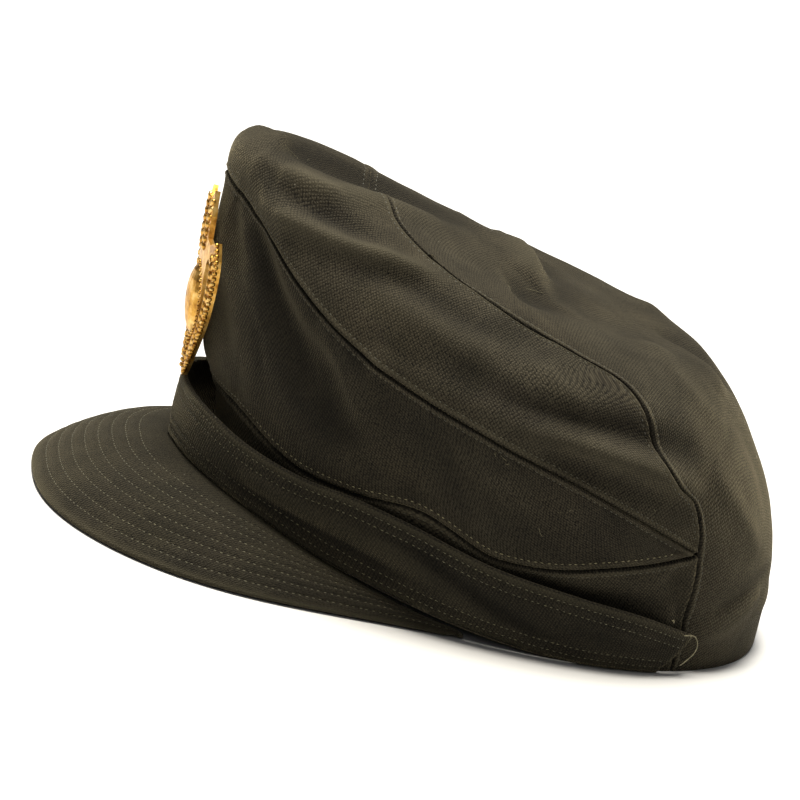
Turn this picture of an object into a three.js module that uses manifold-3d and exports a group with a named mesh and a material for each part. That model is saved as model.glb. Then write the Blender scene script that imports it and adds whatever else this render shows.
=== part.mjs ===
// Peaked service cap with a sewn cloth crown, a stitched peak, a front strap and a gilt badge.
// Millimetres, +Z up. The front faces -Y and the wearer's left is +X. The cap rests on the
// plane z = 0 on the rear half of its hem and on the front edge of its peak.
import * as THREE from 'three';
import Module from 'manifold-3d';
import { mergeVertices } from 'three/addons/utils/BufferGeometryUtils.js';

const wasm = await Module();
wasm.setup();

// ---------------------------------------------------------------- driving dimensions
const CLOTH = 1.8;             // crown and band wall, two layers of wool cloth
const SEAM_GAP = 0.4;          // clear line between two sewn panels
const PEAK_ROOT_WALL = 3.0;    // peak thickness where it joins the band
const PEAK_EDGE_WALL = 2.0;    // peak thickness along its outer edge
const PEAK_TIP_Y = -129.8;     // foremost point of the peak
const PEAK_SPREAD = 95;        // half width that the peak's outline swings towards
const PEAK_SQUARE = 2.4;       // 2 is an ellipse, more is squarer
const PEAK_BULGE = 9.5;        // rise of the peak's middle above a straight line to its edge
const PEAK_LIFT = 0.65;        // mid-surface of the peak's front edge above the rest plane
const PEAK_DROP = 2.1;         // mid-surface of the peak's root below the hem
const PEAK_CORNER_ANGLE = 82;  // where the peak's corners meet the hem, degrees from the front
const PEAK_SWEEP = 88;         // how far round its own half turn the peak is built, degrees
const PEAK_TUCK = 10;          // the higher, the nearer to the corners the outline turns in
const PEAK_FLANK = 0.7;        // how evenly the bulge is carried round to the corners
const PEAK_CORNER_RISE = 0.5;  // extra height of the outer edge at the corners
const PEAK_ROOT_CLEAR = 0.2;   // the root's lower face stays this far above the rest plane
const STRAP_WALL = 2.0;
const STRAP_END_LOW = 119.5;   // angle of the strap's lower rear corner
const STRAP_END_HIGH = 127;    // angle of the strap's upper rear corner
const BACK_SEAM_ANGLE = 126.5; // where the front, top, back and band seams meet
const SEAMS_MEET_LEVEL = 0.201;
const HEM_SEAM_ANGLE = 124.5;  // where the back seam reaches the hem
const REST_Z = 0;

// ---------------------------------------------------------------- crown form
// One row for each level ring of the crown: hem, band, lower wall, wall, shoulder, rim, top,
// inner top and crest. front and back are the ring's ends on the centre plane, lift raises
// its sides, and square is 2 for an ellipse and more for a squarer ring.
const RINGS = [
  { level: 0, frontY: -70.5, frontZ: 22, backY: 130.5, backZ: 0, sideX: 79.5, lift: -9.8, square: 2.1 },
  { level: 0.14, frontY: -76, frontZ: 46, backY: 128, backZ: 28, sideX: 84, lift: -1.5, square: 2.1 },
  { level: 0.28, frontY: -83, frontZ: 72, backY: 120.5, backZ: 51, sideX: 85, lift: 2.5, square: 2.1 },
  { level: 0.42, frontY: -86.5, frontZ: 92.5, backY: 109.5, backZ: 69, sideX: 83, lift: 3.5, square: 2.2 },
  { level: 0.55, frontY: -87.5, frontZ: 112, backY: 96, backZ: 85.5, sideX: 74, lift: -0.5, square: 2.3 },
  { level: 0.68, frontY: -88.5, frontZ: 130, backY: 82.5, backZ: 95, sideX: 57.5, lift: -3, square: 2.3 },
  { level: 0.82, frontY: -70, frontZ: 136, backY: 54, backZ: 100, sideX: 34, lift: -3, square: 2.2 },
  { level: 0.92, frontY: -35, frontZ: 129, backY: 26, backZ: 109.5, sideX: 14, lift: -1, square: 2 },
  { level: 1, frontY: -4.5, frontZ: 120, backY: -4.5, backZ: 120, sideX: 0, lift: 0, square: 2 },
];

// Folds and dents: a soft line through three places on the crown, each an angle from the
// front and a level. width is the fold's half width and height its rise, negative for a dent.
const FOLDS = [
  { fold: 'top_ridge', from: [30, 0.7], via: [48.3, 0.752], to: [71.6, 0.905], width: 6.5, height: 2.6 },
  { fold: 'sunken_top', from: [10.8, 0.786], via: [24.8, 0.857], to: [-90, 0.99], width: 10, height: -6.5 },
  { fold: 'far_rim', from: [-12.5, 0.723], via: [-31, 0.825], to: [-90, 0.88], width: 14, height: -3.2 },
  { fold: 'shoulder_dent', from: [20, 0.657], via: [45, 0.675], to: [63, 0.684], width: 6, height: -1.4 },
  { fold: 'shoulder_ridge', from: [24, 0.588], via: [52, 0.612], to: [79, 0.68], width: 5, height: 2 },
  { fold: 'side_dent', from: [62, 0.612], via: [80, 0.592], to: [100, 0.588], width: 6.5, height: -1.8 },
  { fold: 'side_ridge', from: [58, 0.565], via: [71, 0.549], to: [86, 0.522], width: 5.5, height: 1.2 },
  { fold: 'long_furrow', from: [60, 0.412], via: [90, 0.402], to: [131, 0.418], width: 6, height: -4 },
  { fold: 'long_ridge', from: [56, 0.388], via: [92, 0.378], to: [129, 0.315], width: 5, height: 3.2 },
  { fold: 'lower_dent', from: [92, 0.335], via: [104, 0.314], to: [118, 0.294], width: 5, height: -1.4 },
  { fold: 'back_pocket', from: [100, 0.8], via: [110, 0.81], to: [122, 0.84], width: 9, height: -3.5 },
  { fold: 'cross_bump', from: [112.5, 0.87], via: [180, 0.95], to: [-112.5, 0.87], width: 7.5, height: 3.4 },
  { fold: 'cross_dip', from: [120.5, 0.826], via: [180, 0.91], to: [-120.5, 0.826], width: 8, height: -3 },
  { fold: 'back_ridge', from: [148, 0.76], via: [136, 0.63], to: [145, 0.48], width: 5.5, height: 2.2 },
  { fold: 'back_dent', from: [-176, 0.76], via: [174, 0.675], to: [165, 0.57], width: 7, height: -3 },
  { fold: 'front_hollow', from: [9, 0.55], via: [33, 0.41], to: [53, 0.19], width: 10, height: -3.6 },
  { fold: 'front_edge', from: [4, 0.46], via: [20, 0.3], to: [27, 0.17], width: 6, height: 1.2 },
  { fold: 'side_pleat', from: [50, 0.33], via: [58, 0.25], to: [64, 0.17], width: 5, height: 1 },
  { fold: 'hem_tuck', from: [129, 0.065], via: [140, 0.085], to: [153, 0.12], width: 4.5, height: 1.8 },
  { fold: 'far_front_hollow', from: [-12, 0.5], via: [-34, 0.38], to: [-50, 0.2], width: 11, height: -2.6 },
  { fold: 'far_furrow', from: [-66, 0.44], via: [-98, 0.42], to: [-128, 0.45], width: 7, height: -3.2 },
  { fold: 'far_ridge', from: [-60, 0.4], via: [-95, 0.375], to: [-126, 0.36], width: 5.5, height: 2.4 },
  { fold: 'far_shoulder', from: [-61, 0.705], via: [-86, 0.71], to: [-104, 0.7], width: 9, height: -2.2 },
  { fold: 'far_back_ridge', from: [-150, 0.7], via: [-140, 0.55], to: [-146, 0.4], width: 6, height: 1.8 },
  { fold: 'full_front', from: [0, 0.12], via: [0, 0.4], to: [0, 0.72], width: 12, height: 2.9 },
];

// Seams, as the level at which each crosses an angle from the front; both sides alike.
const TOP_SEAM = [
  { angle: 0, level: 0.6 },
  { angle: 20, level: 0.56 },
  { angle: 31, level: 0.528 },
  { angle: 41.5, level: 0.471 },
  { angle: 51.5, level: 0.414 },
  { angle: 60, level: 0.375 },
  { angle: 68, level: 0.348 },
  { angle: 83.5, level: 0.309 },
  { angle: 103.5, level: 0.267 },
  { angle: BACK_SEAM_ANGLE, level: SEAMS_MEET_LEVEL },
];
const BAND_SEAM = [
  { angle: 0, level: 0.15 },
  { angle: 21.5, level: 0.147 },
  { angle: 42, level: 0.118 },
  { angle: 54, level: 0.126 },
  { angle: 68.5, level: 0.146 },
  { angle: 83.5, level: 0.117 },
  { angle: 92, level: 0.122 },
  { angle: 108, level: 0.156 },
  { angle: BACK_SEAM_ANGLE, level: SEAMS_MEET_LEVEL },
];
// The back panel's outline from the middle of its front edge to where the seams meet, on the
// crown's plan: across is towards the side, along towards the back, and the hem is at 1.
const BACK_OUTLINE = [
  { across: 0, along: -0.1 },
  { across: 0.14, along: -0.092 },
  { across: 0.27, along: -0.065 },
  { across: 0.34, along: 0.01 },
  { across: 0.37, along: 0.1 },
  { across: 0.385, along: 0.19 },
  { across: 0.45, along: 0.25 },
  { across: 0.535, along: 0.3 },
  { across: 0.567, along: 0.35 },
  { across: 0.565, along: 0.41 },
  { across: 0.6, along: 0.455 },
];
const BACK_CORNER = 0.27;      // share of that outline that is the panel's front edge

// The strap's outer face: its upper edge is a level on the crown and a distance from it. Its
// lower edge lies on the peak, that far out from the hem, and past the peak it hangs at the hem.
const STRAP = [
  { angle: 0, lowOff: 17.5, highLevel: 0.153, highOff: 11.4 },
  { angle: 16, lowOff: 14, highLevel: 0.148, highOff: 10.7 },
  { angle: 30, lowOff: 9.6, highLevel: 0.128, highOff: 8 },
  { angle: 45, lowOff: 5.4, highLevel: 0.124, highOff: 5.6 },
  { angle: 55, lowOff: 3.8, highLevel: 0.132, highOff: 4.6 },
  { angle: 66, lowOff: 3, highLevel: 0.13, highOff: 4.2 },
  { angle: 82, lowOff: 2.7, highLevel: 0.112, highOff: 4 },
  { angle: 100, lowOff: 2.5, highLevel: 0.104, highOff: 4.2 },
  { angle: 114, lowOff: 2.5, highLevel: 0.094, highOff: 4.2 },
  { angle: 122, lowOff: 2.5, highLevel: 0.08, highOff: 3.4 },
  { angle: STRAP_END_HIGH, lowOff: 2.5, highLevel: 0.07, highOff: 2.6 },
];
const STRAP_BELLY = 0.9;       // how far the strap's middle stands out between its edges
const STRAP_SEAT = 0.4;        // clear line between the strap and the peak
const STRAP_FLOOR = 0.4;       // lowest point of the strap above the rest plane
const STRAP_FOOT_LEVEL = 0.006; // level on the crown beside the strap's lower edge
const STRAP_HEM_OFF = 2.5;     // how far the strap hangs off the hem along the sides
const STRAP_SNUG_FROM = 36;    // from this angle to the next one the strap comes in to follow
const STRAP_SNUG_FULL = 56;    // the crown's side
const STRAP_SNUG_UP = 0.3;     // share of the strap's width that takes to come in

// The badge, upright in front of the crown: half outline from its foot to its two tips.
const BADGE = { footZ: 45.8, height: 66, plate: 1.8, frontY: -91.15, wrap: 0.0054, lean: 2.5 };
const BADGE_FACET = 6;         // longest edge on the bent plate
const BADGE_OUTLINE = [
  { point: 'foot', across: 0, up: 0 },
  { point: 'stem', across: 3.4, up: 1.2 },
  { point: 'branch_low', across: 10, up: 10.5 },
  { point: 'branch', across: 17.5, up: 23 },
  { point: 'branch_high', across: 21.8, up: 36 },
  { point: 'branch_wide', across: 22.6, up: 46 },
  { point: 'branch_tip', across: 20, up: 52.5 },
  { point: 'scroll', across: 13.5, up: 49.5 },
  { point: 'neck', across: 8.5, up: 50.5 },
  { point: 'spray', across: 8, up: 58 },
  { point: 'spray_tip', across: 4.2, up: 66 },
  { point: 'spray_notch', across: 0, up: 61.5 },
];
const BADGE_WINDOW = [
  { point: 'low', across: 4, up: 10 },
  { point: 'outer_low', across: 9.6, up: 17.5 },
  { point: 'outer', across: 15, up: 29 },
  { point: 'outer_high', across: 17.4, up: 41 },
  { point: 'top', across: 13.4, up: 45 },
  { point: 'inner_high', across: 10.6, up: 38 },
  { point: 'inner', across: 10.6, up: 27 },
  { point: 'inner_low', across: 7.6, up: 17 },
];
const BOSS = { up: 27, halfWidth: 9, halfHeight: 12.5, rise: 3.4, around: 20, over: 10 };
const POST = { radius: 0.9, up: 37.5, sunk: 1, clear: 0.3, around: 12 };

// ---------------------------------------------------------------- mesh density
const HALF_COLUMNS = 26;       // columns from the centre plane to the back seam
const FRONT_EDGE_COLUMNS = 9;  // of those, how many lie on the back panel's front edge
const BAND_ROWS = 3;
const FRONT_ROWS = 8;
const TOP_ROWS = 9;
const HEM_ROWS = 5;            // rows from the meeting of the seams down to the hem
const FOLD_SAMPLES = 10;
const PEAK_COLUMNS = 38;
const PEAK_ROWS = 8;
const STRAP_COLUMNS = 54;
const STRAP_ROWS = 4;
const HALVINGS = 30;           // steps that find a height on the crown

// ---------------------------------------------------------------- small helpers
const radians = (degrees) => degrees * Math.PI / 180;
const mix = (a, b, share) => a + (b - a) * share;
const { clamp, smoothstep } = THREE.MathUtils;

// Slope of a table's column at row i, weighted by the neighbouring spans.
function slopeAt(rows, key, column, i) {
  const slope = (a, b) => (rows[b][column] - rows[a][column]) / (rows[b][key] - rows[a][key]);
  if (i === 0) return slope(0, 1);
  if (i === rows.length - 1) return slope(i - 1, i);
  const before = rows[i][key] - rows[i - 1][key];
  const after = rows[i + 1][key] - rows[i][key];
  return (before * slope(i, i + 1) + after * slope(i - 1, i)) / (before + after);
}

// Smooth value of a table's column at x on its key column.
function smooth(rows, key, column, x) {
  let i = 0;
  while (i < rows.length - 2 && x > rows[i + 1][key]) i += 1;
  const span = rows[i + 1][key] - rows[i][key];
  const u = clamp((x - rows[i][key]) / span, 0, 1);
  const start = slopeAt(rows, key, column, i) * span;
  const end = slopeAt(rows, key, column, i + 1) * span;
  const rise = u * u * (3 - 2 * u);
  const bend = u * (1 - u);
  return mix(rows[i][column], rows[i + 1][column], rise) + bend * ((1 - u) * start - u * end);
}

// A place on the crown's plan: distance 1 - level from the crest, at an angle from the front.
function plan(angle, level) {
  const turn = radians(angle);
  return new THREE.Vector2((1 - level) * Math.sin(turn), -(1 - level) * Math.cos(turn));
}

// ---------------------------------------------------------------- crown surface
function bareCrown(place) {
  const level = 1 - Math.min(place.length(), 1);
  const turn = Math.atan2(place.x, -place.y);
  const at = (column) => smooth(RINGS, 'level', column, level);
  const c = Math.cos(turn);
  const s = Math.sin(turn);
  const square = at('square');
  const reach = (Math.abs(c) ** square + Math.abs(s) ** square) ** (-1 / square);
  const back = -c * reach;
  const y = mix(at('frontY'), at('backY'), (1 + back) / 2);
  const z = mix(at('frontZ'), at('backZ'), (1 + back) / 2) + at('lift') * (1 - back * back);
  return new THREE.Vector3(at('sideX') * s * reach, y, z);
}

function crownNormal(place) {
  const step = 0.004;
  const keepIn = Math.min(1, (1 - 2 * step) / Math.max(place.length(), step));
  const inside = place.clone().multiplyScalar(keepIn);
  const across = new THREE.Vector2(step, 0);
  const along = new THREE.Vector2(0, step);
  const acrossStep = bareCrown(inside.clone().add(across)).sub(bareCrown(inside.clone().sub(across)));
  const alongStep = bareCrown(inside.clone().add(along)).sub(bareCrown(inside.clone().sub(along)));
  return acrossStep.cross(alongStep).normalize();
}

const foldLines = FOLDS.map((row) => {
  const places = [row.from, row.via, row.to].map(([angle, level]) => plan(angle, level));
  const line = new THREE.SplineCurve(places);
  const points = line.getPoints(FOLD_SAMPLES).map(bareCrown);
  return { points, width: row.width, height: row.height };
});

// Height of all folds together at a point of the bare crown, in millimetres along its normal.
function foldHeight(point) {
  let total = 0;
  const nearest = new THREE.Vector3();
  for (const { points, width, height } of foldLines) {
    let best = Infinity;
    let share = 0;
    for (let i = 0; i < FOLD_SAMPLES; i += 1) {
      const part = new THREE.Line3(points[i], points[i + 1]);
      const u = part.closestPointToPointParameter(point, true);
      const distance = part.at(u, nearest).distanceTo(point);
      if (distance < best) {
        best = distance;
        share = (i + u) / FOLD_SAMPLES;
      }
    }
    const fade = 1 - Math.abs(2 * share - 1) ** 3;
    total += height * fade * Math.exp(-((best / width) ** 2));
  }
  return total;
}

const PLAIN_HEM = 0.06;        // the folds have died out between this level and the hem

// The outer face of the cloth and its normal. The hem keeps its plain line, and the rear of
// it is flattened on the rest plane.
function crownCloth(place) {
  const normal = crownNormal(place);
  const point = bareCrown(place);
  const level = 1 - Math.min(place.length(), 1);
  const free = smoothstep(level, 0, PLAIN_HEM);
  point.addScaledVector(normal, foldHeight(point) * free);
  point.z = Math.max(point.z, REST_Z);
  return { point, normal };
}

// ---------------------------------------------------------------- closed cloth walls
// A wall between an outer and an inner grid of points, closed round its four edges.
function wallMesh(name, material, outer, inner) {
  const rows = outer.length;
  const columns = outer[0].length;
  const vertices = [...outer.flat(), ...inner.flat()];
  const positions = new Float32Array(vertices.flatMap((v) => [v.x, v.y, v.z]));
  const out = (i, j) => i * columns + j;
  const inn = (i, j) => rows * columns + i * columns + j;
  const right = columns - 1;
  const last = rows - 1;
  const index = [];
  const quad = (a, b, c, d) => index.push(a, b, c, a, c, d);
  for (let i = 0; i < last; i += 1) {
    for (let j = 0; j < right; j += 1) {
      quad(out(i, j), out(i + 1, j), out(i + 1, j + 1), out(i, j + 1));
      quad(inn(i, j), inn(i, j + 1), inn(i + 1, j + 1), inn(i + 1, j));
    }
    quad(out(i, 0), inn(i, 0), inn(i + 1, 0), out(i + 1, 0));
    quad(out(i, right), out(i + 1, right), inn(i + 1, right), inn(i, right));
  }
  for (let j = 0; j < right; j += 1) {
    quad(out(0, j), out(0, j + 1), inn(0, j + 1), inn(0, j));
    quad(out(last, j), inn(last, j), inn(last, j + 1), out(last, j + 1));
  }
  const geometry = new THREE.BufferGeometry();
  geometry.setAttribute('position', new THREE.BufferAttribute(positions, 3));
  geometry.setIndex(index);
  if (signedVolume(positions, index) < 0) {
    geometry.setIndex(index.reverse());
  }
  const mesh = new THREE.Mesh(geometry, material);
  mesh.name = name;
  return mesh;
}

function signedVolume(positions, index) {
  const corner = (k) => new THREE.Vector3().fromArray(positions, 3 * index[k]);
  let volume = 0;
  for (let k = 0; k < index.length; k += 3) {
    volume += corner(k).dot(corner(k + 1).cross(corner(k + 2)));
  }
  return volume;
}

const ON_HEM = 0.999;          // plan distance from which a place counts as on the hem

// A panel of the crown: a grid of plan places turned into an outer and an inner face.
function clothPanel(name, material, places) {
  const outer = [];
  const inner = [];
  for (const row of places) {
    const faces = row.map((place) => {
      const { point, normal } = crownCloth(place);
      const lining = point.clone().addScaledVector(normal, -CLOTH);
      const onHem = place.length() > ON_HEM;
      lining.z = onHem ? point.z : Math.max(lining.z, REST_Z);
      return [point, lining];
    });
    outer.push(faces.map((pair) => pair[0]));
    inner.push(faces.map((pair) => pair[1]));
  }
  return wallMesh(name, material, outer, inner);
}

const MOST_GAP_SHARE = 0.3;    // where a panel runs out to a point, the gap takes no more

// Share of the way from one place to another that makes half a seam gap.
function gapShare(a, b) {
  const apart = Math.max(bareCrown(a).distanceTo(bareCrown(b)), SEAM_GAP);
  return 0.5 * SEAM_GAP / apart;
}

// Rows of places from one seam to another, drawn in from each seam by half the gap.
function between(lowEdge, highEdge, columns, rows, lowGap, highGap) {
  const grid = [];
  for (let i = 0; i <= columns; i += 1) {
    const low = lowEdge(i / columns);
    const high = highEdge(i / columns);
    const share = Math.min(gapShare(low, high), MOST_GAP_SHARE);
    const start = lowGap ? share : 0;
    const end = highGap ? 1 - share : 1;
    const line = [];
    for (let j = 0; j <= rows; j += 1) {
      line.push(low.clone().lerp(high, mix(start, end, j / rows)));
    }
    grid.push(line);
  }
  return grid;
}

// ---------------------------------------------------------------- seam lines on the plan
// side runs from -1 at the far back seam through 0 at the front to 1 at the near one.
const END_TRIM = 0.0025;       // share of that run left open at the back seam
const sideOf = (share) => (2 * share - 1) * (1 - END_TRIM);
const topSeam = (side) => {
  const angle = side * BACK_SEAM_ANGLE;
  return plan(angle, smooth(TOP_SEAM, 'angle', 'level', Math.abs(angle)));
};
const bandSeam = (side) => {
  const angle = side * BACK_SEAM_ANGLE;
  return plan(angle, smooth(BAND_SEAM, 'angle', 'level', Math.abs(angle)));
};
const hemLine = (side) => plan(side * HEM_SEAM_ANGLE, 0);

const seamsMeet = plan(BACK_SEAM_ANGLE, SEAMS_MEET_LEVEL);
const outlinePlaces = BACK_OUTLINE.map((row) => new THREE.Vector2(row.across, row.along));
const backOutline = new THREE.SplineCurve([...outlinePlaces, seamsMeet]);

// Places on the back panel's outline that face the columns of the top panel.
function backEdge(side) {
  const columns = Math.abs(side) * HALF_COLUMNS;
  const sideColumns = HALF_COLUMNS - FRONT_EDGE_COLUMNS;
  const share = columns <= FRONT_EDGE_COLUMNS
    ? BACK_CORNER * columns / FRONT_EDGE_COLUMNS
    : mix(BACK_CORNER, 1, (columns - FRONT_EDGE_COLUMNS) / sideColumns);
  const place = backOutline.getPointAt(share);
  place.x *= Math.sign(side) || 1;
  return place;
}

// The back panel is a patch with four edges: its short front edge, the hem, and two sides
// that follow the seams down past the place where they meet.
function backPlaces() {
  const columns = 2 * FRONT_EDGE_COLUMNS;
  const seamRows = HALF_COLUMNS - FRONT_EDGE_COLUMNS;
  const rows = seamRows + HEM_ROWS;
  const front = (u) => backEdge((2 * u - 1) * FRONT_EDGE_COLUMNS / HALF_COLUMNS);
  const hem = (u) => plan(mix(360 - HEM_SEAM_ANGLE, HEM_SEAM_ANGLE, u), 0);
  const flank = (v, mirror) => {
    const row = v * rows;
    const place = row <= seamRows
      ? backEdge((FRONT_EDGE_COLUMNS + row) / HALF_COLUMNS)
      : seamsMeet.clone().lerp(hemLine(1), (row - seamRows) / HEM_ROWS);
    place.x *= mirror;
    return place;
  };
  const grid = [];
  for (let i = 0; i <= columns; i += 1) {
    const u = i / columns;
    const line = [];
    for (let j = 0; j <= rows; j += 1) {
      const v = j / rows;
      const place = front(u).multiplyScalar(1 - v).addScaledVector(hem(u), v);
      place.addScaledVector(flank(v, -1), 1 - u);
      place.addScaledVector(flank(v, 1), u);
      place.addScaledVector(front(0), -(1 - u) * (1 - v));
      place.addScaledVector(front(1), -u * (1 - v));
      place.addScaledVector(hem(0), -(1 - u) * v);
      place.addScaledVector(hem(1), -u * v);
      if (j === rows) place.setLength(1);
      line.push(place);
    }
    grid.push(line);
  }
  return drawIn(grid);
}

// Moves a patch's seam edges towards its middle by half the gap; the hem edge stays.
function drawIn(grid) {
  const last = grid.length - 1;
  const moved = grid.map((line) => line.map((place) => place.clone()));
  for (let i = 0; i <= last; i += 1) {
    moved[i][0].lerp(grid[i][1], gapShare(grid[i][0], grid[i][1]));
  }
  for (let j = 0; j < grid[0].length; j += 1) {
    moved[0][j].lerp(grid[1][j], gapShare(grid[0][j], grid[1][j]));
    moved[last][j].lerp(grid[last - 1][j], gapShare(grid[last][j], grid[last - 1][j]));
  }
  for (const line of moved) line[line.length - 1].setLength(1);
  return moved;
}

// ---------------------------------------------------------------- peak
// Its root follows the hem round the front, its outer edge is a squared half ellipse, and
// the cloth between them is crowned.
function peakMiddle(turn, outward) {
  const s = Math.sin(turn);
  const c = Math.abs(Math.cos(turn));
  const rootAngle = PEAK_CORNER_ANGLE * turn / (Math.PI / 2);
  const root = bareCrown(plan(rootAngle, 0));
  root.z = Math.max(root.z - PEAK_DROP, REST_Z + PEAK_EDGE_WALL / 2 + PEAK_ROOT_CLEAR);
  const corner = bareCrown(plan(PEAK_CORNER_ANGLE, 0));
  const reachOut = Math.abs(s) ** (2 / PEAK_SQUARE) * PEAK_SPREAD;
  const tuckIn = (PEAK_SPREAD - corner.x) * Math.abs(s) ** PEAK_TUCK;
  const edge = new THREE.Vector3(
    Math.sign(s) * (reachOut - tuckIn),
    corner.y + (PEAK_TIP_Y - corner.y) * c ** (2 / PEAK_SQUARE),
    REST_Z + PEAK_LIFT + PEAK_CORNER_RISE * s * s,
  );
  const middle = root.lerp(edge, outward);
  middle.z += PEAK_BULGE * 4 * outward * (1 - outward) * c ** PEAK_FLANK;
  return middle;
}

function peakFaces(turn, outward) {
  const step = 0.01;
  const middle = peakMiddle(turn, outward);
  const round = peakMiddle(turn + step, outward).sub(peakMiddle(turn - step, outward));
  const out = peakMiddle(turn, outward + step).sub(peakMiddle(turn, outward - step));
  const normal = out.cross(round).normalize();
  const thin = Math.max(outward, Math.sin(turn) ** 4);
  const half = mix(PEAK_ROOT_WALL, PEAK_EDGE_WALL, thin) / 2;
  const top = middle.clone().addScaledVector(normal, half);
  const under = middle.clone().addScaledVector(normal, -half);
  under.z = Math.max(under.z, REST_Z);
  return { top, under };
}

function peak(material) {
  const upper = [];
  const lower = [];
  for (let i = 0; i <= PEAK_COLUMNS; i += 1) {
    const turn = radians(mix(-PEAK_SWEEP, PEAK_SWEEP, i / PEAK_COLUMNS));
    const faces = [];
    for (let j = 0; j <= PEAK_ROWS; j += 1) {
      faces.push(peakFaces(turn, j / PEAK_ROWS));
    }
    upper.push(faces.map((face) => face.top));
    lower.push(faces.map((face) => face.under));
  }
  return wallMesh('peak', material, upper, lower);
}

// ---------------------------------------------------------------- strap
const plumbLine = new THREE.Raycaster();
const DOWN = new THREE.Vector3(0, 0, -1);
const ABOVE_PEAK = 100;

// Height of the peak's top face under a place, or of the rest plane beside it.
function peakTopAt(peakMesh, x, y) {
  plumbLine.set(new THREE.Vector3(x, y, ABOVE_PEAK), DOWN);
  const hits = plumbLine.intersectObject(peakMesh);
  return hits.length > 0 ? hits[0].point.z : REST_Z;
}

// The strap's lower edge stands off the hem and on the peak where there is peak below it.
function strapLow(peakMesh, angle, off) {
  const hem = plan(angle, STRAP_FOOT_LEVEL);
  const normal = crownNormal(hem);
  const low = bareCrown(hem).addScaledVector(normal, off);
  for (const inward of [0, STRAP_WALL / 2, STRAP_WALL]) {
    const x = low.x - normal.x * inward;
    const y = low.y - normal.y * inward;
    low.z = Math.max(low.z, peakTopAt(peakMesh, x, y) + STRAP_SEAT);
  }
  return low;
}

function strapPoint(peakMesh, angle, up, inward) {
  const at = (column) => smooth(STRAP, 'angle', column, Math.abs(angle));
  const high = plan(angle, at('highLevel'));
  const normal = crownNormal(high);
  const level = new THREE.Vector3(normal.x, normal.y, 0).normalize();
  const point = strapLow(peakMesh, angle, at('lowOff'));
  point.lerp(bareCrown(high).addScaledVector(normal, at('highOff')), up);
  const beside = plan(angle, mix(STRAP_FOOT_LEVEL, at('highLevel'), up));
  const off = mix(STRAP_HEM_OFF, at('highOff'), up);
  const alongside = bareCrown(beside).addScaledVector(crownNormal(beside), off);
  const snugRound = smoothstep(Math.abs(angle), STRAP_SNUG_FROM, STRAP_SNUG_FULL);
  point.lerp(alongside, snugRound * smoothstep(up, 0, STRAP_SNUG_UP));
  point.addScaledVector(level, STRAP_BELLY * 4 * up * (1 - up) - inward);
  point.z = Math.max(point.z, STRAP_FLOOR);
  return point;
}

function strap(material, peakMesh) {
  const outer = [];
  const inner = [];
  for (let i = 0; i <= STRAP_COLUMNS; i += 1) {
    const side = 2 * i / STRAP_COLUMNS - 1;
    const out = [];
    const back = [];
    for (let j = 0; j <= STRAP_ROWS; j += 1) {
      const up = j / STRAP_ROWS;
      const angle = side * mix(STRAP_END_LOW, STRAP_END_HIGH, up);
      out.push(strapPoint(peakMesh, angle, up, 0));
      back.push(strapPoint(peakMesh, angle, up, STRAP_WALL));
    }
    outer.push(out);
    inner.push(back);
  }
  return wallMesh('strap', material, outer, inner);
}

// ---------------------------------------------------------------- badge
function solidOf(geometry) {
  geometry.deleteAttribute('normal');
  geometry.deleteAttribute('uv');
  const merged = mergeVertices(geometry, 1e-4);
  return new wasm.Manifold(new wasm.Mesh({
    numProp: 3,
    vertProperties: new Float32Array(merged.attributes.position.array),
    triVerts: new Uint32Array(merged.index.array),
  }));
}

// Depth of the badge's front face at a place on it: it leans and wraps round the cap.
function badgeFront(across, up) {
  const lean = BADGE.lean * Math.cos(Math.PI * up / BADGE.height);
  return BADGE.frontY + lean + BADGE.wrap * across * across;
}

// Outline of one side: the branch is one sweep, and the scroll and the spray have corners.
function badgeShape() {
  const side = (mirror) => BADGE_OUTLINE.map((row) => new THREE.Vector2(mirror * row.across, row.up));
  const right = side(1);
  const left = side(-1).reverse();
  const tipRow = BADGE_OUTLINE.findIndex((row) => row.point === 'branch_tip');
  const shape = new THREE.Shape();
  shape.moveTo(right[0].x, right[0].y);
  shape.splineThru(right.slice(1, tipRow + 1));
  for (const point of right.slice(tipRow + 1)) shape.lineTo(point.x, point.y);
  for (const point of left.slice(1, -tipRow)) shape.lineTo(point.x, point.y);
  shape.splineThru(left.slice(-tipRow));
  for (const mirror of [-1, 1]) {
    const points = BADGE_WINDOW.map((row) => new THREE.Vector2(mirror * row.across, row.up));
    const rounded = new THREE.CatmullRomCurve3(points.map((p) => new THREE.Vector3(p.x, p.y, 0)), true);
    const loop = rounded.getPoints(2 * points.length).slice(0, -1);
    shape.holes.push(new THREE.Path(loop.map((p) => new THREE.Vector2(p.x, p.y))));
  }
  return shape;
}

// Plate and boss made flat, then bent together.
function badgeFace() {
  const options = { depth: BADGE.plate, bevelEnabled: false, steps: 1, curveSegments: 3 };
  const plate = new THREE.ExtrudeGeometry(badgeShape(), options);
  const boss = new THREE.SphereGeometry(1, BOSS.around, BOSS.over);
  boss.scale(BOSS.halfWidth, BOSS.halfHeight, BOSS.rise + BADGE.plate / 2);
  boss.translate(0, BOSS.up, BADGE.plate / 2);
  const front = solidOf(boss).trimByPlane([0, 0, 1], 0);
  return solidOf(plate).add(front).refineToLength(BADGE_FACET).warp((point) => {
    const [across, up, depth] = point;
    point[1] = badgeFront(across, up) + BADGE.plate - depth;
    point[2] = BADGE.footZ + up;
  });
}

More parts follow.
